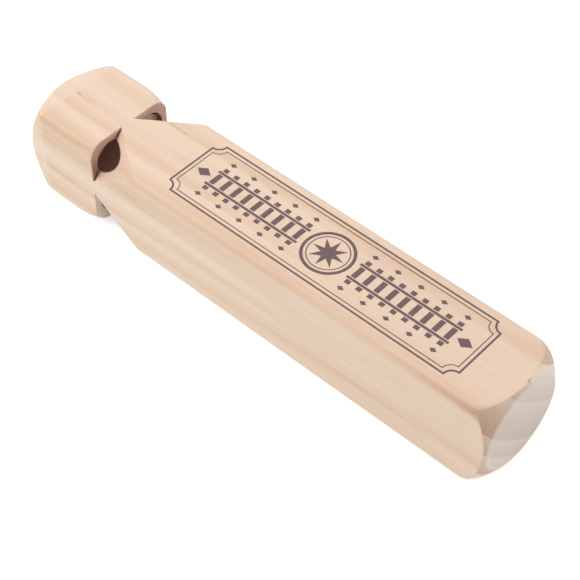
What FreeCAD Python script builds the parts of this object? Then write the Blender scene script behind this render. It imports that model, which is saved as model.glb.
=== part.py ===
"""A four-note wooden train whistle that lies on its side.

The body is one square block of softwood. Four bores run in from the mouth end, one near each
long edge. A window is cut through each long edge into its bore, and a glued dowel plug with a
flat side leads the breath from the mouth end to the window.

Sizes are in millimetres. X runs along the whistle from the mouth end to the tail, -Y is its
front, Z is up, and the origin is in the middle of the face that it lies on.
"""
import FreeCAD
import Part

import math
import os

# Block
block_length = 170.3
block_width = 30.0
long_edge_radius = 1.7

# Turned ends: a cone at each end, with its slope from the whistle's axis and the radius of its
# shoulder. Each cone ends in a round face whose edge lies this far inside the block's four sides
mouth_cone_slope = 53.0
mouth_shoulder_radius = 3.7
mouth_face_inset = 5.3
mouth_rim_radius = 1.6
tail_cone_slope = 58.5
tail_shoulder_radius = 7.6
tail_face_inset = 1.1
tail_rim_radius = 0.7

# Shallow flats sanded on the four sides of the mouth end, ending this far behind the cone
mouth_flat_behind_cone = 1.75
mouth_flat_slope = 3.0

# Windows: a wall square to the axis, and a ramp that rises from its foot towards the tail. Two
# neighbouring windows leave a land of this width between them on their shared face
mouth_to_window = 30.3
window_land = 4.7
ramp_length = 17.9

# Long corners of the head, sanded rounder and rounder towards the window wall
eased_corner_length = 8.7
eased_corner_radius = 5.4
eased_corner_steps = 6

# Bores, each with a drill point at its blind end; every chamber sounds its own note. The side
# wall is the wood between a bore and the nearest faces of the block, and the middle wall is the
# wood between two neighbouring bores
bore_side_wall = 2.2
bore_middle_wall = 3.6
drill_point_angle = 118.0
front_upper_chamber = 92.0
back_upper_chamber = 104.0
front_lower_chamber = 71.0
back_lower_chamber = 81.0

# Plugs: dowels glued in, with a flat side towards the long edge that leaves the windway open.
# They stop a little short of their window's wall, and one of them was pushed in less far
windway_depth = 1.0
plug_clearance = 0.03
plug_setback = 1.9
front_upper_plug_setback = 7.0

# Sandpaper rounds each sharp outside edge: the windows' lightly, and those of the turned ends
# more, because the bar's sides are sanded after the turning
window_edge_radius = 0.35
turned_edge_radius = 1.2
sharp_edge_angle = 20.0

# The turning tool passes this far outside the rounded long edges
turning_clearance = 0.15

# A cutter runs past the surface that it cuts by this much
overrun = 2.0

# Each bore: name, side of the whistle in Y and in Z, chamber length and setback of its plug
bores = [
    ("front_upper", -1, 1, front_upper_chamber, front_upper_plug_setback),
    ("back_upper", 1, 1, back_upper_chamber, plug_setback),
    ("front_lower", -1, -1, front_lower_chamber, plug_setback),
    ("back_lower", 1, -1, back_lower_chamber, plug_setback),
]

# Places that several pieces share
mouth_x = -block_length / 2
tail_x = block_length / 2
window_x = mouth_x + mouth_to_window
axis_height = block_width / 2
half_width = block_width / 2
bore_diameter = half_width - bore_side_wall - bore_middle_wall / 2
bore_radius = bore_diameter / 2
bore_offset = (bore_diameter + bore_middle_wall) / 2
corner_reach = math.sqrt(2) * (half_width - long_edge_radius) + long_edge_radius
turned_radius = corner_reach + turning_clearance
mouth_radius = half_width - mouth_face_inset
tail_radius = half_width - tail_face_inset
mouth_cone = (turned_radius - mouth_radius) / math.tan(math.radians(mouth_cone_slope))
tail_cone = (turned_radius - tail_radius) / math.tan(math.radians(tail_cone_slope))
mouth_flat = mouth_cone + mouth_flat_behind_cone
mouth_half_width = half_width - mouth_flat * math.tan(math.radians(mouth_flat_slope))
along = FreeCAD.Vector(1, 0, 0)
axis_point = FreeCAD.Vector(0, 0, axis_height)


def outline(corners):
    """A closed wire through corners (point, radius), with an arc at each radius above zero."""
    count = len(corners)
    starts, ends, edges = [], [], []
    for index, (corner, radius) in enumerate(corners):
        before = (corners[index - 1][0] - corner).normalize()
        after = (corners[(index + 1) % count][0] - corner).normalize()
        half_angle = before.getAngle(after) / 2
        reach = radius / math.tan(half_angle)
        starts.append(corner + before * reach)
        ends.append(corner + after * reach)
        if radius > 0:
            middle = (before + after).normalize()
            centre = corner + middle * (radius / math.sin(half_angle))
            edges.append(Part.Arc(starts[-1], centre - middle * radius, ends[-1]).toShape())
    for index in range(count):
        edges.append(Part.makeLine(ends[index], starts[(index + 1) % count]))
    return Part.Wire(Part.__sortEdges__(edges))


def square_section(x, half, corner_radius):
    """The block's section at x, a square with rounded corners."""
    sides = [(-half, -half), (half, -half), (half, half), (-half, half)]
    corners = [(FreeCAD.Vector(x, y, axis_height + z), corner_radius) for y, z in sides]
    return outline(corners)


def squared_stock():
    """The planed square bar, with four shallow flats at the mouth end and the head's corners
    eased towards the window wall."""
    flat_x = mouth_x + mouth_flat
    eased_x = window_x - eased_corner_length
    mouth = [
        square_section(mouth_x, mouth_half_width, long_edge_radius),
        square_section(flat_x, half_width, long_edge_radius),
    ]
    bar = Part.makeLoft(mouth, True, True)
    for start, end, radius in (
        (flat_x, eased_x, long_edge_radius),
        (eased_x, window_x, 0),
        (window_x, tail_x, long_edge_radius),
    ):
        face = Part.Face(square_section(start, half_width, radius))
        bar = bar.fuse(face.extrude(along * (end - start)))
    waste = eased_corner_waste()
    for _ in range(4):
        bar = bar.cut(waste)
        waste.rotate(axis_point, along, 90)
    return bar


def eased_corner_waste():
    """What is sanded off one of the head's corners: everything outside sections that get rounder
    towards the window wall."""
    sections = []
    for step in range(eased_corner_steps + 1):
        share = step / eased_corner_steps
        x = window_x - eased_corner_length * (1 - share)
        radius = long_edge_radius + (eased_corner_radius - long_edge_radius) * share ** 2
        inner = half_width - radius
        middle = inner + radius / math.sqrt(2)
        outer = half_width + overrun
        places = [(half_width, inner), (outer, inner), (outer, outer), (inner, outer),
                  (inner, half_width), (middle, middle)]
        points = [FreeCAD.Vector(x, y, axis_height + z) for y, z in places]
        edges = [Part.makeLine(points[index], points[index + 1]) for index in range(4)]
        edges.append(Part.Arc(points[4], points[5], points[0]).toShape())
        sections.append(Part.Wire(edges))
    return Part.makeLoft(sections, True, True)


def at_radius(x, radius):
    """A point straight above the whistle's axis."""
    return FreeCAD.Vector(x, 0, axis_height + radius)


def turned_envelope():
    """What the lathe leaves: a cone at each end, each with a rounded shoulder and rim."""
    turned = outline([
        (at_radius(mouth_x, 0), 0),
        (at_radius(mouth_x, mouth_radius), mouth_rim_radius),
        (at_radius(mouth_x + mouth_cone, turned_radius), mouth_shoulder_radius),
        (at_radius(tail_x - tail_cone, turned_radius), tail_shoulder_radius),
        (at_radius(tail_x, tail_radius), tail_rim_radius),
        (at_radius(tail_x, 0), 0),
    ])
    return Part.Face(turned).revolve(axis_point, along, 360)


def window_cutter(y_side, z_side):
    """The wedge taken out of one long edge, in a plane through the edge's diagonal."""
    edge_reach = math.sqrt(2) * half_width
    foot_reach = (half_width + window_land / 2) / math.sqrt(2)
    outer_reach = edge_reach + overrun
    outer_x = window_x + ramp_length * (outer_reach - foot_reach) / (edge_reach - foot_reach)
    corners = [
        FreeCAD.Vector(window_x, -block_width, axis_height + foot_reach),
        FreeCAD.Vector(window_x, -block_width, axis_height + outer_reach),
        FreeCAD.Vector(outer_x, -block_width, axis_height + outer_reach),
    ]
    wedge = Part.Face(Part.makePolygon(corners + corners[:1]))
    cutter = wedge.extrude(FreeCAD.Vector(0, 2 * block_width, 0))
    cutter.rotate(axis_point, along, edge_direction(y_side, z_side) - 90)
    return cutter


def edge_direction(y_side, z_side):
    """The angle in degrees from +Y, about the axis, at which a long edge lies."""
    return math.degrees(math.atan2(z_side, y_side))


def bore_centre(x, y_side, z_side):
    """A point on a bore's axis."""
    return FreeCAD.Vector(x, y_side * bore_offset, axis_height + z_side * bore_offset)


def bore_cutter(y_side, z_side, chamber_length):
    """The drill's path: a cylinder from the mouth end, with the drill's point at its blind end."""
    depth = mouth_to_window + chamber_length
    start = bore_centre(mouth_x - overrun, y_side, z_side)
    bore = Part.makeCylinder(bore_radius, depth + overrun, start, along)
    point_length = bore_radius / math.tan(math.radians(drill_point_angle / 2))
    blind_end = bore_centre(mouth_x + depth, y_side, z_side)
    return bore.fuse(Part.makeCone(bore_radius, 0, point_length, blind_end, along))


def is_sharp(shape, edge):
    """True where the two faces beside an edge meet at more than the sharp angle."""
    faces = shape.ancestorsOfType(edge, Part.Face)
    if len(faces) != 2:
        return False
    middle = edge.valueAt((edge.FirstParameter + edge.LastParameter) / 2)
    normals = [face.normalAt(*face.Surface.parameter(middle)) for face in faces]
    return normals[0].getAngle(normals[1]) > math.radians(sharp_edge_angle)


def outside_edges(shape, start_x, end_x):
    """The sharp edges on the outside between two places along the whistle. The windows' feet lie
    further in, and they aren't among them."""
    edges = []
    for edge in shape.Edges:
        middle = edge.CenterOfMass
        reach = math.hypot(middle.y, middle.z - axis_height)
        outside = reach > mouth_half_width - window_edge_radius
        if outside and start_x < middle.x < end_x and is_sharp(shape, edge):
            edges.append(edge)
    return edges


def soften(shape):
    """Sand the edges at the mouth end, at the windows and at the tail."""
    head_end_x = window_x - eased_corner_length
    ramps_end_x = window_x + ramp_length
    for start_x, end_x, radius in (
        (mouth_x, head_end_x, turned_edge_radius),
        (head_end_x, ramps_end_x, window_edge_radius),
        (ramps_end_x, tail_x, turned_edge_radius),
    ):
        shape = shape.makeFillet(radius, outside_edges(shape, start_x, end_x))
    return shape


def make_blank():
    """The block before any window or bore, squared and turned at both ends."""
    return squared_stock().common(turned_envelope())


def make_block(blank):
    """The whistle's body: the windows are cut and sanded, and then the bores are drilled."""
    block = blank
    for _, y_side, z_side, _, _ in bores:
        block = block.cut(window_cutter(y_side, z_side))
    block = soften(block.removeSplitter())
    for _, y_side, z_side, chamber_length, _ in bores:
        block = block.cut(bore_cutter(y_side, z_side, chamber_length))
    return block.removeSplitter()


def make_plug(blank, y_side, z_side, setback):
    """A dowel with a flat side, shaped at the mouth end together with the block."""
    radius = bore_radius - plug_clearance
    start = bore_centre(mouth_x - overrun, y_side, z_side)
    length = overrun + mouth_to_window - setback
    dowel = Part.makeCylinder(radius, length, start, along)
    flat_height = bore_radius - windway_depth
    corner = start + FreeCAD.Vector(-overrun, flat_height, -bore_diameter)
    waste = Part.makeBox(length + 2 * overrun, bore_diameter, 2 * bore_diameter, corner)
    waste.rotate(start, along, edge_direction(y_side, z_side))
    return dowel.cut(waste).common(blank).removeSplitter()


def export(shape, name):
    """Write one piece, after checking that it is a single sound solid."""
    if len(shape.Solids) != 1 or not shape.isValid():
        raise RuntimeError(name + " is not one sound solid")
    solid = shape.Solids[0]
    solid.exportStep(os.path.join("parts", name + ".step"))
    print(name, round(solid.Volume), "mm3", solid.BoundBox)


os.makedirs("parts", exist_ok=True)
blank = make_blank()
export(make_block(blank), "whistle_block")
for name, y_side, z_side, _, setback in bores:
    export(make_plug(blank, y_side, z_side, setback), "plug_" + name)
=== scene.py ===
"""Pine, dowel and print for a wooden train whistle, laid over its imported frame.

The file is laid out as an add-on and run as a script. Each operator finishes one piece or a group
of like pieces, and main calls them in order. Lengths in the settings are in metres, and patterns
in the wood are worked out in millimetres from the object's own coordinates.
"""

import math
from types import SimpleNamespace

import bpy
import numpy as np
from mathutils import Matrix, Vector


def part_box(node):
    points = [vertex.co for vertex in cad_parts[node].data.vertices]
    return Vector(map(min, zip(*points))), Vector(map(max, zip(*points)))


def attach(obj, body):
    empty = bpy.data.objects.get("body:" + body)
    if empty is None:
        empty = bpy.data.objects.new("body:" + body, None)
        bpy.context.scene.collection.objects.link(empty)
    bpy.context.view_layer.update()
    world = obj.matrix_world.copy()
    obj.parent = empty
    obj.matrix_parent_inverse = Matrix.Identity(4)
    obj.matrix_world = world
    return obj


bl_info = {
    "name": "Train Whistle Finish",
    "version": (1, 0, 0),
    "blender": (4, 5, 0),
    "location": "3D View > Sidebar > Whistle",
    "description": "Pine grain, dowel ends and a printed panel for a wooden train whistle",
    "category": "Material",
}

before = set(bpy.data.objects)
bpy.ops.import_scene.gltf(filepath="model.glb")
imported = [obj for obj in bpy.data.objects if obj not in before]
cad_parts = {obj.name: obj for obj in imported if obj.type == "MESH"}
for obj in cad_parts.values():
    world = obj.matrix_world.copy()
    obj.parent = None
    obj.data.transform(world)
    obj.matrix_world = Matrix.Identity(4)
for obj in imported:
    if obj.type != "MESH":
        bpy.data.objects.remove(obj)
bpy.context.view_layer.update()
block_low, block_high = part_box("whistle_block")
top_height = block_high.z
mouth_x = block_low.x
tail_x = block_high.x
plug_names = ("plug_front_upper", "plug_back_upper", "plug_front_lower", "plug_back_lower")

# Places in the block, in millimetres: the sanded flats at the mouth end, the bores, the windows'
# walls and feet, the rim of the end faces, and where the tail beyond the bores is solid
FLAT_LENGTH = 10.0
BORE_OFFSET = 7.3
BORE_RADIUS = 5.5
WINDOW_X = -54.85
WINDOW_FOOT = 12.27
RIM_RADIUS = 13.5
FLAT_END_X = 1000 * mouth_x + FLAT_LENGTH
END_FACE_X = 1000 * tail_x
AXIS_HEIGHT = 1000 * top_height / 2
SOLID_TAIL_X = 62.0

# Parts of the printed panel, in metres. The borders and the badge have one middle, and a stretch
# of track lies on each side of it
PANEL_ASIDE = 0.0003
CORNER_NOTCH = 0.0028
BORDER_GAP = 0.0013
BADGE_RADIUS = 0.0072
BADGE_LINE = 0.0009
BADGE_INNER_RADIUS = 0.0059
BADGE_INNER_LINE = 0.0003
BADGE_STAR = (0.0052, 0.0021)
BADGE_STAR_TIPS = 8
CIRCLE_POINTS = 72
TRACK_FROM_BADGE = 0.0255
RAIL_FROM_TRACK = 0.0028
RAIL_LENGTH = 0.0335
RAIL_WIDTH = 0.0008
SLEEPER_COUNT = 9
SLEEPER_PITCH = 0.0038
SLEEPER_WIDTH = 0.0016
SLEEPER_LENGTH = 0.0042
TIP_FROM_TRACK = 0.0042
TIP_LENGTH = 0.0014
DIAMOND_COUNT = 5
DIAMOND_PITCH = 2 * SLEEPER_PITCH
DIAMOND_FROM_TRACK = 0.0071
DIAMOND = (0.0011, 0.00078)
END_DIAMOND_FROM_BADGE = 0.0452
END_DIAMOND = (0.0024, 0.0017)
INK_BITE = 0.00001

# Lamps and floor, in metres and as a share of white
SOFT_LAMP_PLACE = (-0.48, -0.33, 0.60)
END_LAMP_PLACE = (0.80, 0.70, 0.45)
LAMP_SIZE = 0.6
FLOOR_GREY = 0.9
FLOOR_GLOW = 0.5


def linear(red, green, blue):
    """An 8-bit display colour as the linear colour with alpha that a shader takes."""
    shares = np.array([red, green, blue]) / 255
    low = shares / 12.92
    high = ((shares + 0.055) / 1.055) ** 2.4
    return tuple(np.where(shares <= 0.04045, low, high)) + (1.0,)


def colour_property(name, description, shade):
    """A colour setting with its default given as an 8-bit display colour."""
    return bpy.props.FloatVectorProperty(
        name=name, description=description, subtype="COLOR", size=4, min=0.0, max=1.0,
        default=linear(*shade),
    )


def length_property(name, description, millimetres):
    """A length setting with its default given in millimetres."""
    return bpy.props.FloatProperty(
        name=name, description=description, unit="LENGTH", min=0.0, precision=5,
        default=millimetres / 1000,
    )


class WhistlePineSettings(bpy.types.PropertyGroup):
    """Colours of the softwood block."""

    early_wood: colour_property("Early Wood", "Pale wood between the year lines", (245, 219, 197))
    late_wood: colour_property("Late Wood", "Darker wood at the year lines", (218, 175, 140))
    cream_wood: colour_property("Cream Wood", "Pale wood on the front side", (240, 221, 200))
    sanded_flat: colour_property("Sanded Flat", "Flats at the mouth end", (243, 222, 202))
    sanded_end: colour_property("Sanded End", "End grain of the two end faces", (234, 219, 208))
    end_ring: colour_property("End Ring", "Year rings on the end faces", (190, 170, 152))
    cut_end: colour_property("Cut End", "End grain in windows", (219, 185, 164))
    turned_end: colour_property("Turned End", "Pale end grain on the cones", (246, 229, 213))
    turned_ring: colour_property("Turned Ring", "Year rings on the cones", (176, 130, 96))
    torn_fibre: colour_property("Torn Fibre", "Dark specks in rough end grain", (112, 76, 54))
    dark_line: colour_property("Dark Line", "Thin dark lines in the grain", (172, 118, 84))
    # Painted shade colour for the window walls round the bores
    wall_shade_colour: colour_property("Window Wall", "Darkened grain round a bore", (208, 170, 149))
    # Painted light colour: the lit walls of the lower front window and the highlight on the end
    # faces' rims
    painted_light: colour_property("Window Pale", "Clean end grain in a window", (255, 246, 236))
    # Painted shade colour for the crease at a wall's foot and towards a wall's tip, also used for
    # the faint drill rings
    crease_shade_and_drill_mark: colour_property("Crevice", "Dark line at the foot of a window's wall", (122, 82, 62))
    # Painted shade colour: the wood in the bores and a thin ring round them is darkened
    bore_wood_shade: colour_property("Bored Wood", "Wood inside the bores", (192, 152, 134))


class WhistleDowelSettings(bpy.types.PropertyGroup):
    """Colours of the plugs."""

    pale_dowel: colour_property("Pale Dowel", "Pale wood of the dowels", (255, 224, 200))
    dark_dowel: colour_property("Dark Dowel", "Year lines of the dowels", (240, 204, 178))
    sanded_dowel: colour_property("Sanded Dowel", "Sanded outer ends", (234, 212, 190))
    sanded_line: colour_property("Sanded Line", "Year lines on the outer ends", (206, 174, 146))


class WhistlePrintSettings(bpy.types.PropertyGroup):
    """Size and colour of the printed panel."""

    ink: colour_property("Ink", "Colour of the printed shapes", (108, 86, 86))
    bare_speck: colour_property("Bare Speck", "Wood that shows through the ink", (196, 164, 144))
    panel_length: length_property("Panel Length", "Length of the printed border", 100.0)
    panel_width: length_property("Panel Width", "Width of the printed border", 22.4)
    panel_middle: length_property("Panel Middle", "Place of the panel along the whistle", 20.0)
    line_width: length_property("Line Width", "Width of the border line", 0.55)
    ink_height: length_property("Ink Height", "Thickness of the ink", 0.04)


class WhistleStageSettings(bpy.types.PropertyGroup):
    """The floor, the lamps and the camera."""

    floor_size: length_property("Floor Size", "Side of the square floor", 2400.0)
    sky_strength: bpy.props.FloatProperty(
        name="Sky Strength", description="Strength of the even light", default=0.68, min=0.0)
    lamp_power: bpy.props.FloatProperty(
        name="Lamp Power", description="Power of the soft lamp", default=2.8, min=0.0,
        unit="POWER")
    end_lamp_power: bpy.props.FloatProperty(
        name="End Lamp Power", description="Power of the lamp beyond the tail", default=1.45,
        min=0.0, unit="POWER")
    camera_place: bpy.props.FloatVectorProperty(
        name="Camera Place", description="Where the camera stands", subtype="TRANSLATION",
        size=3, default=(0.197798, -0.213591, 0.330909))
    camera_look: bpy.props.FloatVectorProperty(
        name="Camera Look", description="Direction in which the camera looks",
        subtype="DIRECTION", size=3, default=(-0.440373, 0.492853, -0.750445))
    camera_up: bpy.props.FloatVectorProperty(
        name="Camera Up", description="Direction of the picture's upper edge",
        subtype="DIRECTION", size=3, default=(-0.50543, 0.554735, 0.660916))
    camera_lens: bpy.props.FloatProperty(
        name="Camera Lens", description="Focal length in millimetres on a 36 mm sensor",
        default=97.123, min=1.0)


def node(tree, kind, inputs=(), **settings):
    """A new node with its settings. Inputs maps a socket's name or number to a value or socket."""
    made = tree.nodes.new(kind)
    for name, value in settings.items():
        setattr(made, name, value)
    for name, value in dict(inputs).items():
        if isinstance(value, bpy.types.NodeSocket):
            tree.links.new(value, made.inputs[name])
        else:
            made.inputs[name].default_value = value
    return made


def calc(tree, operation, *values):
    """The result of a Math node."""
    return node(tree, "ShaderNodeMath", enumerate(values), operation=operation).outputs[0]


def product(tree, first, *others):
    """Several values multiplied together."""
    for other in others:
        first = calc(tree, "MULTIPLY", first, other)
    return first


def gap(tree, value, place):
    """How far a value is from a place, without its sign."""
    return calc(tree, "ABSOLUTE", calc(tree, "SUBTRACT", value, place))


def vector_calc(tree, operation, *values):
    """The vector result of a Vector Math node."""
    made = node(tree, "ShaderNodeVectorMath", enumerate(values), operation=operation)
    return made.outputs["Value" if operation in ("DOT_PRODUCT", "LENGTH") else "Vector"]


def scaled(tree, position, x, y, z):
    """The position times a factor along each axis."""
    return vector_calc(tree, "MULTIPLY", position, (x, y, z))


def ramp(tree, value, low, high):
    """A smooth step from 0 at low to 1 at high."""
    inputs = {"Value": value, "From Min": low, "From Max": high}
    made = node(tree, "ShaderNodeMapRange", inputs, interpolation_type="SMOOTHSTEP")
    return made.outputs["Result"]


def noise(tree, position, detail=2.0, scale=1.0):
    """The grey value of a noise texture."""
    inputs = {"Vector": position, "Scale": scale, "Detail": detail}
    return node(tree, "ShaderNodeTexNoise", inputs).outputs["Fac"]


def blend(tree, share, first, second):
    """Two colours mixed by a share."""
    made = node(tree, "ShaderNodeMix", data_type="RGBA")
    for socket, value in zip((made.inputs[0], made.inputs[6], made.inputs[7]),
                             (share, first, second)):
        if isinstance(value, bpy.types.NodeSocket):
            tree.links.new(value, socket)
        else:
            socket.default_value = value
    return made.outputs[2]


def new_group(name, inputs, outputs):
    """An empty shader group with its sockets. Inputs maps names to (type, default)."""
    tree = bpy.data.node_groups.new(name, "ShaderNodeTree")
    for socket_name, (kind, default) in inputs.items():
        socket = tree.interface.new_socket(socket_name, in_out="INPUT", socket_type=kind)
        if default is not None:
            socket.default_value = default
    for socket_name, kind in outputs.items():
        tree.interface.new_socket(socket_name, in_out="OUTPUT", socket_type=kind)
    inlet = tree.nodes.new("NodeGroupInput")
    outlet = tree.nodes.new("NodeGroupOutput")
    return tree, inlet.outputs, outlet.inputs


def place_group(tree, group, inputs):
    """The outputs of a group placed in a material."""
    return node(tree, "ShaderNodeGroup", inputs, node_tree=group).outputs


FLOAT = "NodeSocketFloat"
VECTOR = "NodeSocketVector"

# Tone of the wood across the year rings, for the head and for the tail: place along the ring
# direction in millimetres, and how far the colour goes from early to late wood. Each year starts
# with a sharp rise and fades towards the next
RING_TONES = (
    (-24.0, 0.30, 0.10),
    (-21.0, 0.10, 0.04),
    (-19.6, 0.14, 0.10),
    (-18.2, 0.44, 0.32),
    (-16.4, 0.30, 0.16),
    (-14.2, 0.06, 0.04),
    (-13.2, 0.10, 0.04),
    (-11.9, 0.40, 0.08),
    (-10.2, 0.18, 0.04),
    (-8.6, 0.04, 0.03),
    (-6.6, 0.06, 0.04),
    (-5.2, 0.38, 0.05),
    (-3.0, 0.50, 0.05),
    (0.4, 0.38, 0.08),
    (1.8, 0.58, 0.44),
    (2.8, 0.70, 0.54),
    (3.9, 0.44, 0.34),
    (5.2, 0.32, 0.14),
    (6.9, 0.02, 0.08),
    (7.6, 0.12, 0.04),
    (8.3, 0.40, 0.02),
    (9.9, 0.26, 0.06),
    (10.7, 0.10, 0.03),
    (11.5, 0.32, 0.03),
    (13.0, 0.14, 0.06),
    (15.2, 0.08, 0.04),
    (17.2, 0.38, 0.34),
    (18.4, 0.18, 0.32),
    (19.4, 0.08, 0.04),
    (22.0, 0.30, 0.20),
)

# The same for the end grain of both ends, where the year lines show as arcs
END_TONES = (
    (-22.0, 0.10),
    (-16.8, 0.04),
    (-16.4, 0.34),
    (-10.7, 0.10),
    (-10.3, 0.50),
    (-5.7, 0.18),
    (-5.3, 0.62),
    (-1.0, 0.48),
    (5.6, 0.12),
    (6.0, 0.42),
    (11.0, 0.18),
    (11.4, 0.06),
    (15.8, 0.06),
    (16.2, 0.28),
    (22.0, 0.20),
)
RING_DIRECTION = (0.0, 0.6, 0.8)
ALONG_RINGS = (0.0, 0.8, -0.6)
RING_REACH = 26.0

# The arcs on end grain: how far their crown lies aside from the axis, in millimetres, and how
# fast they fall away from it
ARC_ASIDE = 8.0
ARC_BEND = 0.0055

# Thin dark lines in the grain: both ends in millimetres, width and strength
DARK_LINES = (
    ((-74.8, -1.0, 30.0), (-73.6, -1.0, 30.0), 0.45, 0.45),
    ((-73.6, -1.1, 30.0), (-68.6, -1.5, 30.0), 0.30, 0.32),
    ((-70.6, -0.4, 30.0), (-68.0, -0.4, 30.0), 0.35, 0.28),
    ((84.3, 1.5, 29.9), (84.7, 2.8, 29.8), 0.75, 0.95),
    ((84.6, -3.7, 29.8), (85.0, -1.8, 29.6), 0.80, 0.95),
    ((52.0, -15.0, 29.2), (82.0, -14.6, 28.8), 1.30, 0.10),
    ((63.0, -15.0, 29.2), (82.0, -14.6, 28.8), 1.60, 0.10),
    ((71.0, -15.0, 29.2), (82.0, -14.4, 28.6), 2.00, 0.12),
    ((77.0, -15.0, 29.2), (82.5, -14.2, 28.4), 2.40, 0.16),
    ((-46.0, 7.9, 30.0), (-39.0, 7.6, 30.0), 0.26, 0.45),
    ((-44.0, -15.0, 21.6), (-35.0, -15.0, 22.0), 0.30, 0.3),
    ((-38.0, -15.0, 19.6), (-27.0, -15.0, 20.3), 0.26, 0.25),
    ((-72.0, -15.0, 10.9), (-64.0, -15.0, 10.8), 0.30, 0.25),
)


def year_ring_group():
    """Year rings seen on any cut. The distance along the ring direction is bent by slow noise and
    lifted towards the tail on the lower front side, and the two lists of tones, one for the head
    and one for the tail, turn it into a depth of colour. On end grain the lines are arcs: the
    distance falls off with the square of the way along them."""
    tree, inputs, outputs = new_group(
        "Year Rings", {"Position": (VECTOR, None)},
        {"Depth": FLOAT, "Distance": FLOAT, "End Depth": FLOAT})
    position = inputs["Position"]
    along = vector_calc(tree, "DOT_PRODUCT", position, RING_DIRECTION)
    centred = calc(tree, "SUBTRACT", along, AXIS_HEIGHT * RING_DIRECTION[2])
    split = node(tree, "ShaderNodeSeparateXYZ", {0: position}).outputs
    slow = noise(tree, scaled(tree, position, 0.016, 0.06, 0.06), detail=2.0)
    bend = calc(tree, "MULTIPLY", calc(tree, "SUBTRACT", slow, 0.5), 3.0)
    fine = noise(tree, scaled(tree, position, 0.035, 0.5, 0.5), detail=3.0)
    ripple = calc(tree, "MULTIPLY", calc(tree, "SUBTRACT", fine, 0.5), 1.0)
    low_side = ramp(tree, centred, -4.0, -10.0)
    lift = calc(tree, "MULTIPLY", ramp(tree, split["X"], -45.0, 85.0), low_side)
    distance = calc(tree, "MULTIPLY_ADD", lift, -6.0, centred)
    for part in (bend, ripple):
        distance = calc(tree, "ADD", distance, part)
    tones = [tone_curve(tree, distance, RING_TONES, column) for column in (1, 2)]
    turn = calc(tree, "ADD", split["X"], calc(tree, "MULTIPLY", slow, 40.0))
    mixed = blend(tree, ramp(tree, turn, -10.0, 65.0), *tones)
    grey = node(tree, "ShaderNodeSeparateColor", {0: mixed}).outputs[0]
    grey = calc(tree, "MULTIPLY_ADD", ramp(tree, split["X"], -20.0, 55.0), 0.16, grey)
    beside = vector_calc(tree, "DOT_PRODUCT", position, ALONG_RINGS)
    aside = calc(tree, "SUBTRACT", beside, AXIS_HEIGHT * ALONG_RINGS[2] + ARC_ASIDE)
    arc = product(tree, aside, aside, -ARC_BEND)
    bent = calc(tree, "ADD", calc(tree, "ADD", centred, arc), calc(tree, "MULTIPLY", ripple, 0.7))
    end_tone = tone_curve(tree, bent, END_TONES, 1)
    tree.links.new(grey, outputs["Depth"])
    tree.links.new(distance, outputs["Distance"])
    tree.links.new(end_tone, outputs["End Depth"])
    return tree


def tone_curve(tree, distance, tones, column):
    """The tone at a distance, read from one column of a list of tones."""
    share = calc(tree, "MULTIPLY_ADD", distance, 0.5 / RING_REACH, 0.5)
    curve = node(tree, "ShaderNodeValToRGB", {0: share})
    stops = curve.color_ramp.elements
    stops[0].color = stops[1].color = (0.1, 0.1, 0.1, 1.0)
    for tone in tones:
        stop = stops.new(0.5 + 0.5 * tone[0] / RING_REACH)
        stop.color = (tone[column], tone[column], tone[column], 1.0)
    return curve.outputs["Color"]


def fibre_group():
    """Long fibres: noise drawn out along the whistle, as broad shades and as fine lines."""
    tree, inputs, outputs = new_group(
        "Wood Fibres", {"Position": (VECTOR, None)}, {"Shade": FLOAT, "Lines": FLOAT})
    position = inputs["Position"]
    shade = noise(tree, scaled(tree, position, 0.018, 0.75, 0.75), detail=3.0)
    lines = noise(tree, scaled(tree, position, 0.10, 5.0, 5.0), detail=3.0)
    tree.links.new(shade, outputs["Shade"])
    tree.links.new(lines, outputs["Lines"])
    return tree


def dash_group():
    """Tiny slanting dashes: the middles of a few cells of a drawn-out cell pattern."""
    tree, inputs, outputs = new_group(
        "Fibre Dashes", {"Position": (VECTOR, None), "Share": (FLOAT, 0.2)}, {"Mask": FLOAT})
    split = node(tree, "ShaderNodeSeparateXYZ", {0: inputs["Position"]}).outputs
    slant = calc(tree, "MULTIPLY_ADD", split["X"], -0.06, split["Z"])
    leaning = node(tree, "ShaderNodeCombineXYZ", {0: split["X"], 1: split["Y"], 2: slant})
    cells = node(
        tree, "ShaderNodeTexVoronoi",
        {"Vector": scaled(tree, leaning.outputs[0], 0.20, 1.9, 1.9), "Scale": 1.0},
        feature="F1").outputs
    middle = ramp(tree, cells["Distance"], 0.30, 0.08)
    pick = node(tree, "ShaderNodeSeparateColor", {0: cells["Color"]}).outputs[0]
    chosen = calc(tree, "LESS_THAN", pick, inputs["Share"])
    tree.links.new(calc(tree, "MULTIPLY", middle, chosen), outputs["Mask"])
    return tree


def dark_line_group():
    """One thin dark line: the distance from the straight run between two points, faded out to its
    width."""
    tree, inputs, outputs = new_group(
        "Dark Line",
        {"Position": (VECTOR, None), "Start": (VECTOR, None), "End": (VECTOR, None),
         "Width": (FLOAT, 0.3), "Strength": (FLOAT, 1.0)},
        {"Mask": FLOAT})
    run = vector_calc(tree, "SUBTRACT", inputs["End"], inputs["Start"])
    reach = vector_calc(tree, "SUBTRACT", inputs["Position"], inputs["Start"])
    dots = [vector_calc(tree, "DOT_PRODUCT", reach, run), vector_calc(tree, "DOT_PRODUCT", run, run)]
    share = calc(tree, "DIVIDE", *dots)
    held = node(tree, "ShaderNodeClamp", {"Value": share}).outputs[0]
    foot = node(tree, "ShaderNodeVectorMath", {0: run, "Scale": held}, operation="SCALE").outputs[0]
    away = vector_calc(tree, "LENGTH", vector_calc(tree, "SUBTRACT", reach, foot))
    fade = calc(tree, "SUBTRACT", 1.0, calc(tree, "DIVIDE", away, inputs["Width"]))
    kept = node(tree, "ShaderNodeClamp", {"Value": fade}).outputs[0]
    tree.links.new(calc(tree, "MULTIPLY", kept, inputs["Strength"]), outputs["Mask"])
    return tree


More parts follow.
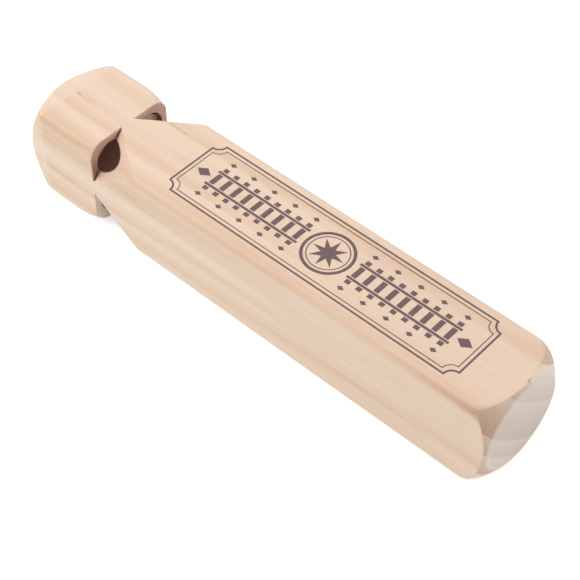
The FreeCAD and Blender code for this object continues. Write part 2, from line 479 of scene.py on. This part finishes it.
def position_in_millimetres(tree):
    """Object coordinates times 1000."""
    place = node(tree, "ShaderNodeTexCoord").outputs["Object"]
    return node(tree, "ShaderNodeVectorMath", {0: place, "Scale": 1000.0},
                operation="SCALE").outputs[0]


def new_material(name):
    """A material with a Principled shader, and its tree."""
    material = bpy.data.materials.new(name)
    material.use_nodes = True
    tree = material.node_tree
    return material, tree, tree.nodes["Principled BSDF"]


def pine_place(tree, groups):
    """What every part of the pine reads, in millimetres and as shares: the position, how squarely
    the surface faces along the whistle, the rings and fibres there, and where end grain, cones
    and end faces are."""
    position = position_in_millimetres(tree)
    split = node(tree, "ShaderNodeSeparateXYZ", {0: position}).outputs
    normal = node(tree, "ShaderNodeNewGeometry").outputs["Normal"]
    facing = calc(tree, "ABSOLUTE", node(tree, "ShaderNodeSeparateXYZ", {0: normal}).outputs[0])
    out_x = calc(tree, "ABSOLUTE", split["X"])
    return SimpleNamespace(
        position=position, x=split["X"], y=split["Y"], z=split["Z"], facing=facing, out_x=out_x,
        rings=place_group(tree, groups["rings"], {"Position": position}),
        fibres=place_group(tree, groups["fibres"], {"Position": position}),
        pores=noise(tree, scaled(tree, position, 1.0, 4.0, 4.0), detail=3.0),
        specks=noise(tree, scaled(tree, position, 2.2, 3.4, 3.4), detail=3.0),
        end_share=ramp(tree, facing, 0.30, 0.62),
        near_end=ramp(tree, out_x, 60.0, 66.0),
        end_face=ramp(tree, out_x, END_FACE_X - 0.55, END_FACE_X - 0.2))


def long_face_wood(tree, settings, place):
    """Long faces: creamier wood on the front side, year rings, fibres in patches, and paler sanded
    flats with a ragged edge at the mouth end."""
    back_side = ramp(tree, place.rings["Distance"], 0.5, 4.0)
    pale = blend(tree, back_side, settings.cream_wood, settings.early_wood)
    ragged = calc(tree, "MULTIPLY_ADD", place.fibres["Lines"], 2.4,
                  calc(tree, "SUBTRACT", place.x, 1.2))
    flat = ramp(tree, ragged, FLAT_END_X, FLAT_END_X - 0.6)
    kept = calc(tree, "MULTIPLY_ADD", flat, -0.5, 1.0)
    patchy = noise(tree, scaled(tree, place.position, 0.02, 0.12, 0.12), detail=1.0)
    depth = calc(tree, "MULTIPLY", place.rings["Depth"], calc(tree, "ADD", patchy, 0.5))
    streaks = calc(tree, "MULTIPLY", calc(tree, "SUBTRACT", place.fibres["Shade"], 0.5), 0.5)
    hair_share = calc(tree, "MULTIPLY", ramp(tree, patchy, 0.35, 0.7), 0.35)
    hairs = calc(tree, "MULTIPLY", calc(tree, "SUBTRACT", place.fibres["Lines"], 0.5), hair_share)
    depth = calc(tree, "ADD", depth, calc(tree, "ADD", streaks, hairs))
    depth = calc(tree, "MULTIPLY", depth, kept)
    pale = blend(tree, calc(tree, "MULTIPLY", flat, 0.5), pale, settings.sanded_flat)
    return blend(tree, depth, pale, settings.late_wood)


def marked_wood(tree, groups, settings, place, wood):
    """The wood with its thin dark lines, and with tiny dashes on the front side near the tail."""
    marks = None
    for start, end, width, strength in DARK_LINES:
        inputs = {"Position": place.position, "Start": start, "End": end, "Width": width,
                  "Strength": strength}
        mask = place_group(tree, groups["dark_line"], inputs)["Mask"]
        marks = mask if marks is None else calc(tree, "ADD", marks, mask)
    wood = blend(tree, marks, wood, settings.dark_line)
    inputs = {"Position": place.position, "Share": 0.22}
    dashes = place_group(tree, groups["dashes"], inputs)["Mask"]
    dash_place = calc(tree, "MULTIPLY", ramp(tree, place.x, 25.0, 50.0),
                      ramp(tree, place.rings["Distance"], 0.0, -3.0))
    dash_share = calc(tree, "MULTIPLY_ADD", dash_place, 0.20, 0.04)
    return blend(tree, calc(tree, "MULTIPLY", dashes, dash_share), wood, settings.dark_line)


def end_grain(tree, settings, place):
    """End grain: cut in the windows, torn in clumps on the cones and sanded on the end faces."""
    rings = place.rings["End Depth"]
    grit = calc(tree, "MULTIPLY", calc(tree, "SUBTRACT", place.pores, 0.5), 0.4)
    depth = calc(tree, "ADD", rings, grit)
    sanded = blend(tree, calc(tree, "MULTIPLY", depth, 0.8), settings.sanded_end,
                   settings.end_ring)
    turned_depth = calc(tree, "MULTIPLY_ADD", ramp(tree, rings, 0.08, 0.12), 0.22,
                        calc(tree, "MULTIPLY", depth, 0.85))
    turned = blend(tree, turned_depth, settings.turned_end, settings.turned_ring)
    clumps = ramp(tree, noise(tree, place.position, detail=1.0, scale=0.45), 0.42, 0.58)
    torn = product(tree, rings, clumps, ramp(tree, place.specks, 0.55, 0.68))
    turned = blend(tree, torn, turned, settings.torn_fibre)
    cut = blend(tree, calc(tree, "MULTIPLY", depth, 0.5), settings.cut_end, settings.turned_ring)
    return blend(tree, place.end_face, blend(tree, place.near_end, cut, turned), sanded)


def painted_rim_highlight(tree, place):
    """A painted highlight: a light arc just inside the rim of the end faces, strongest towards the
    front.
    """
    from_axis = vector_calc(tree, "SUBTRACT", place.position, (0.0, 0.0, AXIS_HEIGHT))
    radius = vector_calc(tree, "LENGTH", scaled(tree, from_axis, 0.0, 1.0, 1.0))
    ring = ramp(tree, gap(tree, radius, RIM_RADIUS), 0.30, 0.05)
    on_end = ramp(tree, place.out_x, END_FACE_X - 0.5, END_FACE_X - 0.3)
    return product(tree, ring, on_end, ramp(tree, place.y, 6.0, -6.0), 0.35)


def window_wood(tree, settings, place, wood):
    """The wood with its windows and bores. The lower front window's walls get painted light. The
    walls get painted shade round the bore and towards the tip at the side face, with a painted shade
    line at the wall's foot, all mostly in the upper front window. Every wall gets faint drill rings,
    and the bores get painted shade."""
    side = calc(tree, "ABSOLUTE", place.y)
    height = gap(tree, place.z, AXIS_HEIGHT)
    across = calc(tree, "SUBTRACT", side, BORE_OFFSET)
    upward = calc(tree, "SUBTRACT", height, BORE_OFFSET)
    from_bore = calc(tree, "SQRT", calc(
        tree, "MULTIPLY_ADD", across, across, calc(tree, "MULTIPLY", upward, upward)))
    under_face = calc(tree, "SUBTRACT", AXIS_HEIGHT, calc(tree, "MAXIMUM", side, height))
    in_window = product(tree, ramp(tree, under_face, 0.1, 0.5),
                        ramp(tree, gap(tree, place.x, WINDOW_X), 1.6, 1.0))
    wall = product(tree, ramp(tree, place.facing, 0.8, 0.95), in_window)
    front = ramp(tree, place.y, 3.0, -3.0)
    front_upper = product(tree, front, ramp(tree, place.z, 12.0, 18.0))
    # Painted light: the walls of the lower front window are made pale, standing in for light bounced
    # up from the floor
    painted_window_light = product(tree, wall, calc(tree, "SUBTRACT", front, front_upper))
    wood = blend(tree, painted_window_light, wood, settings.painted_light)

    # Painted shade on the window walls, darker near the bore and towards the tip at the side face:
    # full in the upper front window and a tenth of it in the others
    shade_weight = calc(tree, "MULTIPLY_ADD", front_upper, 0.9, 0.1)
    lean = calc(tree, "SUBTRACT", side, height)
    downward = ramp(tree, lean, -5.0, 5.0)
    rim = calc(tree, "MULTIPLY_ADD", downward, -2.4, 3.0)
    painted_wall_shade = product(tree, ramp(tree, under_face, 0.2, rim), ramp(
        tree, calc(tree, "ADD", from_bore, place.pores), BORE_RADIUS + 7.0, BORE_RADIUS + 0.5))
    painted_wall_shade = product(tree, calc(tree, "MULTIPLY_ADD", painted_wall_shade, 0.85, 0.1),
                    calc(tree, "MULTIPLY_ADD", downward, 0.3, 0.7), wall, shade_weight)
    wood = blend(tree, painted_wall_shade, wood, settings.wall_shade_colour)
    # Painted shade: the wall darkens towards its tip at the side face, mostly in the upper front
    # window
    tip = product(tree, ramp(tree, lean, 2.0, 9.0), 0.65, shade_weight, wall)
    wood = blend(tree, tip, wood, settings.crease_shade_and_drill_mark)
    # Faint drill rings round the bore on every wall
    drill_marks = calc(tree, "SINE", calc(tree, "MULTIPLY", from_bore, 5.0))
    drill_marks = product(tree, calc(tree, "MULTIPLY_ADD", drill_marks, 0.04, 0.04), wall)
    wood = blend(tree, drill_marks, wood, settings.crease_shade_and_drill_mark)

    # Painted shade: a dark line in the crease at the foot of the wall, widest near the bore, mostly
    # in the upper front window
    into = calc(tree, "MULTIPLY", calc(tree, "ADD", side, height), math.sqrt(0.5))
    close = ramp(tree, from_bore, BORE_RADIUS + 3.5, BORE_RADIUS)
    spread = calc(tree, "MULTIPLY_ADD", close, 0.7, 0.4)
    off_foot = calc(tree, "DIVIDE", gap(tree, into, WINDOW_FOOT + 0.1), spread)
    wall_side = ramp(tree, place.x, WINDOW_X + 0.9, WINDOW_X + 0.3)
    foot = product(tree, ramp(tree, off_foot, 1.0, 0.2), wall_side, in_window, shade_weight, 0.8)
    wood = blend(tree, foot, wood, settings.crease_shade_and_drill_mark)
    # Painted shade: the bores and a thin ring round them on the walls are darkened, up to where the
    # tail is solid
    inside = product(tree, ramp(tree, from_bore, BORE_RADIUS + 0.3, BORE_RADIUS + 0.1),
                     ramp(tree, place.x, SOLID_TAIL_X, SOLID_TAIL_X - 4.0))
    return blend(tree, inside, wood, settings.bore_wood_shade)


def build_pine(groups, settings):
    """Sanded softwood: long faces with their marks, end grain, and the windows and bores. The
    cones are rougher than the rest."""
    material, tree, shader = new_material("pine")
    place = pine_place(tree, groups)
    wood = long_face_wood(tree, settings, place)
    wood = marked_wood(tree, groups, settings, place, wood)
    wood = blend(tree, place.end_share, wood, end_grain(tree, settings, place))
    # Painted highlight along the rim of the end faces
    wood = blend(tree, painted_rim_highlight(tree, place), wood, settings.painted_light)
    wood = window_wood(tree, settings, place, wood)
    tree.links.new(wood, shader.inputs["Base Color"])
    shader.inputs["Roughness"].default_value = 0.62
    shader.inputs["Specular IOR Level"].default_value = 0.3
    rough_end = product(tree, place.end_share, place.near_end,
                        calc(tree, "SUBTRACT", 1.0, place.end_face))
    lines = calc(tree, "MULTIPLY", place.fibres["Lines"], 0.25)
    relief = calc(tree, "MULTIPLY_ADD", calc(tree, "MULTIPLY", place.specks, rough_end), 2.0,
                  lines)
    add_bump(tree, shader, relief, 0.00012)
    return material


def add_bump(tree, shader, height, distance):
    """Fine relief on a finish, as deep as the distance in metres."""
    inputs = {"Height": height, "Distance": distance, "Strength": 0.4}
    bump = node(tree, "ShaderNodeBump", inputs).outputs[0]
    tree.links.new(bump, shader.inputs["Normal"])


def build_dowel(groups, settings):
    """Dowel: straight fibres outside and close year rings on its cut ends, which are sanded and
    greyer at the mouth end."""
    material, tree, shader = new_material("dowel")
    position = position_in_millimetres(tree)
    fibres = place_group(tree, groups["fibres"], {"Position": position})
    slow = noise(tree, scaled(tree, position, 0.02, 0.2, 0.2), detail=2.0)
    across = vector_calc(tree, "DOT_PRODUCT", position, (0.0, 0.85, -0.53))
    bent = calc(tree, "MULTIPLY_ADD", slow, 4.0, across)
    wave = calc(tree, "SINE", calc(tree, "MULTIPLY", bent, 3.4))
    depth = calc(tree, "MULTIPLY", ramp(tree, wave, -0.4, 1.0), 0.7)
    wood = blend(tree, depth, settings.pale_dowel, settings.dark_dowel)
    along = node(tree, "ShaderNodeSeparateXYZ", {0: position}).outputs["X"]
    outer = blend(tree, depth, settings.sanded_dowel, settings.sanded_line)
    wood = blend(tree, ramp(tree, along, -62.0, -68.0), wood, outer)
    lines = calc(tree, "MULTIPLY", ramp(tree, fibres["Lines"], 0.4, 0.8), 0.35)
    wood = blend(tree, lines, wood, settings.dark_dowel)
    tree.links.new(wood, shader.inputs["Base Color"])
    shader.inputs["Roughness"].default_value = 0.7
    shader.inputs["Specular IOR Level"].default_value = 0.25
    add_bump(tree, shader, fibres["Lines"], 0.0001)
    return material


def build_ink(groups, settings):
    """Printed ink: one colour, thinner along the fibres, with small bare specks."""
    material, tree, shader = new_material("print")
    position = position_in_millimetres(tree)
    fibres = place_group(tree, groups["fibres"], {"Position": position})
    grit = noise(tree, scaled(tree, position, 4.0, 5.0, 5.0), detail=3.0)
    bare = calc(tree, "MULTIPLY", ramp(tree, grit, 0.6, 0.75), 0.5)
    thin = calc(tree, "MULTIPLY", ramp(tree, fibres["Lines"], 0.5, 0.8), 0.2)
    colour = blend(tree, calc(tree, "MAXIMUM", bare, thin), settings.ink, settings.bare_speck)
    tree.links.new(colour, shader.inputs["Base Color"])
    shader.inputs["Roughness"].default_value = 0.55
    return material


def give_material(piece, material):
    """Puts one material on a whole mesh."""
    piece.data.materials.clear()
    piece.data.materials.append(material)


class WHISTLE_OT_pine(bpy.types.Operator):
    """Give the block its softwood finish"""

    bl_idname = "whistle.pine"
    bl_label = "Finish Pine Block"

    def execute(self, context):
        material = build_pine(shared_groups(), context.scene.whistle_pine)
        give_material(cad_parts["whistle_block"], material)
        return {"FINISHED"}


class WHISTLE_OT_dowels(bpy.types.Operator):
    """Give the four plugs their dowel finish"""

    bl_idname = "whistle.dowels"
    bl_label = "Finish Dowel Plugs"

    def execute(self, context):
        material = build_dowel(shared_groups(), context.scene.whistle_dowel)
        for name in plug_names:
            give_material(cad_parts[name], material)
        return {"FINISHED"}


def shared_groups():
    """The shader groups that more than one finish uses, each built once."""
    makers = {"rings": ("Year Rings", year_ring_group), "fibres": ("Wood Fibres", fibre_group),
              "dashes": ("Fibre Dashes", dash_group), "dark_line": ("Dark Line", dark_line_group)}
    groups = {}
    for key, (name, maker) in makers.items():
        groups[key] = bpy.data.node_groups.get(name) or maker()
    return groups


def ribbon(path, width, low, high):
    """A closed band of ink along a closed path: a rectangle carried along it, with each corner
    mitred. The side direction at a point is the mean of its two runs' normals, lengthened by one
    over the cosine of half the turn. Returns points and faces."""
    path = np.asarray(path, float)
    runs = np.roll(path, -1, axis=0) - path
    runs /= np.linalg.norm(runs, axis=1)[:, None]
    sides = np.stack([-runs[:, 1], runs[:, 0]], axis=1)
    mitre = sides + np.roll(sides, 1, axis=0)
    mitre /= (mitre * sides).sum(axis=1)[:, None]
    reach = mitre * width / 2
    count = len(path)
    plan = np.stack([path + reach, path - reach, path - reach, path + reach], axis=1)
    heights = np.broadcast_to([high, high, low, low], (count, 4))
    points = np.dstack([plan, heights]).reshape(-1, 3)
    index = np.arange(count)[:, None]
    corner = np.arange(4)[None, :]
    after = (index + 1) % count
    turn = (corner + 1) % 4
    faces = np.dstack([index * 4 + corner, index * 4 + turn, after * 4 + turn,
                       after * 4 + corner]).reshape(-1, 4)
    return points, faces


def plate(outline_points, low, high):
    """A flat shape of ink whose middle has a clear line to every point of its outline: rings from
    the middle to the outline, with a wall down to the wood. Returns points and faces."""
    outline_points = np.asarray(outline_points, float)
    middle = outline_points.mean(axis=0)
    shares = np.array([0.001, 0.5, 1.0, 1.0])
    heights = np.array([high, high, high, low])
    plan = middle + shares[:, None, None] * (outline_points - middle)
    count = len(outline_points)
    levels = np.broadcast_to(heights[:, None, None], (4, count, 1))
    points = np.concatenate([plan, levels], axis=2).reshape(-1, 3)
    ring = np.arange(3)[:, None]
    step = np.arange(count)[None, :]
    after = (step + 1) % count
    faces = np.dstack([ring * count + step, (ring + 1) * count + step,
                       (ring + 1) * count + after, ring * count + after]).reshape(-1, 4)
    return points, faces


def joined_mesh(name, shapes):
    """One mesh out of several (points, faces) with faces of four corners."""
    starts = np.cumsum([0] + [len(points) for points, _ in shapes])
    points = np.concatenate([points for points, _ in shapes])
    faces = np.concatenate([faces + start for (_, faces), start in zip(shapes, starts)])
    mesh = bpy.data.meshes.new(name)
    mesh.from_pydata(points.tolist(), [], faces.tolist())
    mesh.update()
    return mesh


def circle(centre, radius, count):
    """Points round a circle, anticlockwise."""
    angle = np.arange(count) * 2 * math.pi / count
    return np.stack([centre[0] + radius * np.cos(angle), centre[1] + radius * np.sin(angle)], 1)


def star(centre, outer, inner, tips):
    """Points of a star: the radius swaps between its tips and its hollows."""
    angle = np.arange(2 * tips) * math.pi / tips
    radius = np.where(np.arange(2 * tips) % 2 == 0, outer, inner)
    return np.stack([centre[0] + radius * np.cos(angle), centre[1] + radius * np.sin(angle)], 1)


def rectangle(centre, length, width):
    """The four corners of a rectangle."""
    signs = np.array([(-1, -1), (1, -1), (1, 1), (-1, 1)])
    return np.asarray(centre) + signs * (length / 2, width / 2)


def ticket_border(centre, length, width, notch):
    """A rectangle whose corners are hollowed by quarter circles of the notch's radius."""
    quarter = np.linspace(0, math.pi / 2, 7)
    corners = []
    for x_side, y_side, start in ((-1, -1, 0.0), (1, -1, 0.5), (1, 1, 1.0), (-1, 1, 1.5)):
        angle = start * math.pi + quarter[::-1]
        corner = np.asarray(centre) + (x_side * length / 2, y_side * width / 2)
        corners.append(np.stack([corner[0] + notch * np.cos(angle),
                                 corner[1] + notch * np.sin(angle)], 1))
    return np.concatenate(corners)


def border_and_badge(settings, middle, low, high):
    """The double border, and the round badge with its star."""
    length, width, line = settings.panel_length, settings.panel_width, settings.line_width
    inner = 2 * BORDER_GAP
    return [
        ribbon(ticket_border(middle, length, width, CORNER_NOTCH), line, low, high),
        ribbon(ticket_border(middle, length - inner, width - inner, CORNER_NOTCH), line * 0.5,
               low, high),
        ribbon(circle(middle, BADGE_RADIUS, CIRCLE_POINTS), BADGE_LINE, low, high),
        ribbon(circle(middle, BADGE_INNER_RADIUS, CIRCLE_POINTS), BADGE_INNER_LINE, low, high),
        plate(star(middle, *BADGE_STAR, BADGE_STAR_TIPS), low, high),
    ]


def track(middle, side, low, high):
    """One stretch of track beside the badge: rails, sleepers with their tips, two rows of small
    diamonds and a larger diamond at the far end."""
    shapes = []
    track_middle = middle + (side * TRACK_FROM_BADGE, 0.0)
    for rail in (-1, 1):
        place = track_middle + (0.0, rail * RAIL_FROM_TRACK)
        shapes.append(plate(rectangle(place, RAIL_LENGTH, RAIL_WIDTH), low, high))
    for step in range(SLEEPER_COUNT):
        place = track_middle + ((step - SLEEPER_COUNT // 2) * SLEEPER_PITCH, 0.0)
        shapes.append(plate(rectangle(place, SLEEPER_WIDTH, SLEEPER_LENGTH), low, high))
        for rail in (-1, 1):
            tip = place + (0.0, rail * TIP_FROM_TRACK)
            shapes.append(plate(rectangle(tip, SLEEPER_WIDTH, TIP_LENGTH), low, high))
    for row in (-1, 1):
        for step in range(DIAMOND_COUNT):
            along = (step - DIAMOND_COUNT // 2) * DIAMOND_PITCH
            place = track_middle + (along, row * DIAMOND_FROM_TRACK)
            shapes.append(plate(star(place, *DIAMOND, 2), low, high))
    end_place = middle + (side * END_DIAMOND_FROM_BADGE, 0.0)
    shapes.append(plate(star(end_place, *END_DIAMOND, 2), low, high))
    return shapes


class WHISTLE_OT_print(bpy.types.Operator):
    """Print the panel on the whistle's upper face"""

    bl_idname = "whistle.print"
    bl_label = "Print Panel"

    def execute(self, context):
        settings = context.scene.whistle_print
        low = top_height - INK_BITE
        high = top_height + settings.ink_height
        middle = np.array([settings.panel_middle, PANEL_ASIDE])
        shapes = border_and_badge(settings, middle, low, high)
        for side in (-1, 1):
            shapes += track(middle, side, low, high)
        mesh = joined_mesh("printed_panel", shapes)
        panel = bpy.data.objects.new("printed_panel", mesh)
        context.scene.collection.objects.link(panel)
        give_material(panel, build_ink(shared_groups(), settings))
        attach(panel, "root")
        return {"FINISHED"}


def stage_material(name, strength):
    """White to the camera and in reflections, and pale grey where it takes the shadow."""
    material, tree, shader = new_material(name)
    shader.inputs["Base Color"].default_value = (FLOOR_GREY, FLOOR_GREY, FLOOR_GREY, 1.0)
    shader.inputs["Roughness"].default_value = 0.9
    shader.inputs["Specular IOR Level"].default_value = 0.0
    shader.inputs["Emission Color"].default_value = (1.0, 1.0, 1.0, 1.0)
    path = node(tree, "ShaderNodeLightPath").outputs
    seen = calc(tree, "MAXIMUM", path["Is Camera Ray"], path["Is Glossy Ray"])
    tree.links.new(calc(tree, "MULTIPLY", seen, strength), shader.inputs["Emission Strength"])
    return material


class WHISTLE_OT_stage(bpy.types.Operator):
    """Set up the floor, the lamps and the camera"""

    bl_idname = "whistle.stage"
    bl_label = "Set Up Stage"

    def execute(self, context):
        scene = context.scene
        settings = scene.whistle_stage
        half = settings.floor_size / 2
        floor_mesh = bpy.data.meshes.new("floor")
        corners = [(-half, -half, 0), (half, -half, 0), (half, half, 0), (-half, half, 0)]
        floor_mesh.from_pydata(corners, [], [(0, 1, 2, 3)])
        floor = bpy.data.objects.new("floor", floor_mesh)
        scene.collection.objects.link(floor)
        give_material(floor, stage_material("floor", FLOOR_GLOW))

        world = bpy.data.worlds.new("studio")
        world.use_nodes = True
        scene.world = world
        tree = world.node_tree
        background = tree.nodes["Background"]
        background.inputs["Color"].default_value = (1.0, 1.0, 1.0, 1.0)
        path = node(tree, "ShaderNodeLightPath").outputs
        seen = calc(tree, "MAXIMUM", path["Is Camera Ray"], path["Is Glossy Ray"])
        strength = node(tree, "ShaderNodeMapRange", {"Value": seen, "To Max": 1.0})
        strength.inputs["To Min"].default_value = settings.sky_strength
        tree.links.new(strength.outputs["Result"], background.inputs["Strength"])

        lamps = (("soft_lamp", SOFT_LAMP_PLACE, settings.lamp_power),
                 ("end_lamp", END_LAMP_PLACE, settings.end_lamp_power))
        for name, place, power in lamps:
            lamp_data = bpy.data.lights.new(name, "AREA")
            lamp_data.energy = power
            lamp_data.size = LAMP_SIZE
            lamp = bpy.data.objects.new(name, lamp_data)
            lamp.location = place
            lamp.rotation_euler = (-lamp.location).to_track_quat("-Z", "Y").to_euler()
            scene.collection.objects.link(lamp)

        look = Vector(settings.camera_look).normalized()
        up = Vector(settings.camera_up)
        up = (up - look * up.dot(look)).normalized()
        right = look.cross(up)
        camera_data = bpy.data.cameras.new("camera")
        camera_data.lens = settings.camera_lens
        camera_data.sensor_width = 36.0
        camera_data.clip_start = 0.01
        camera = bpy.data.objects.new("camera", camera_data)
        turn = Matrix((right, up, -look)).transposed().to_4x4()
        camera.matrix_world = Matrix.Translation(Vector(settings.camera_place)) @ turn
        scene.collection.objects.link(camera)
        scene.camera = camera
        scene.view_settings.view_transform = "Standard"
        return {"FINISHED"}


class WHISTLE_PT_finish(bpy.types.Panel):
    """Lists the settings and the steps that finish the whistle"""

    bl_idname = "WHISTLE_PT_finish"
    bl_label = "Train Whistle"
    bl_space_type = "VIEW_3D"
    bl_region_type = "UI"
    bl_category = "Whistle"

    def draw(self, context):
        for name, operator in STEPS:
            box = self.layout.box()
            settings = getattr(context.scene, name)
            for key in settings.__annotations__:
                box.prop(settings, key)
            box.operator(operator.bl_idname)


STEPS = (
    ("whistle_pine", WHISTLE_OT_pine),
    ("whistle_dowel", WHISTLE_OT_dowels),
    ("whistle_print", WHISTLE_OT_print),
    ("whistle_stage", WHISTLE_OT_stage),
)
SETTINGS = {
    "whistle_pine": WhistlePineSettings,
    "whistle_dowel": WhistleDowelSettings,
    "whistle_print": WhistlePrintSettings,
    "whistle_stage": WhistleStageSettings,
}


def register():
    """Register every class and hang the settings on the scene."""
    for settings in SETTINGS.values():
        bpy.utils.register_class(settings)
    for _, operator in STEPS:
        bpy.utils.register_class(operator)
    bpy.utils.register_class(WHISTLE_PT_finish)
    for name, settings in SETTINGS.items():
        setattr(bpy.types.Scene, name, bpy.props.PointerProperty(type=settings))


def unregister():
    """Take the settings off the scene and unregister every class."""
    for name in SETTINGS:
        delattr(bpy.types.Scene, name)
    bpy.utils.unregister_class(WHISTLE_PT_finish)
    for _, operator in reversed(STEPS):
        bpy.utils.unregister_class(operator)
    for settings in SETTINGS.values():
        bpy.utils.unregister_class(settings)


def main():
    """Finish the whistle step by step."""
    register()
    bpy.ops.whistle.stage()
    bpy.ops.whistle.pine()
    bpy.ops.whistle.dowels()
    bpy.ops.whistle.print()


if __name__ == "__main__":
    main()
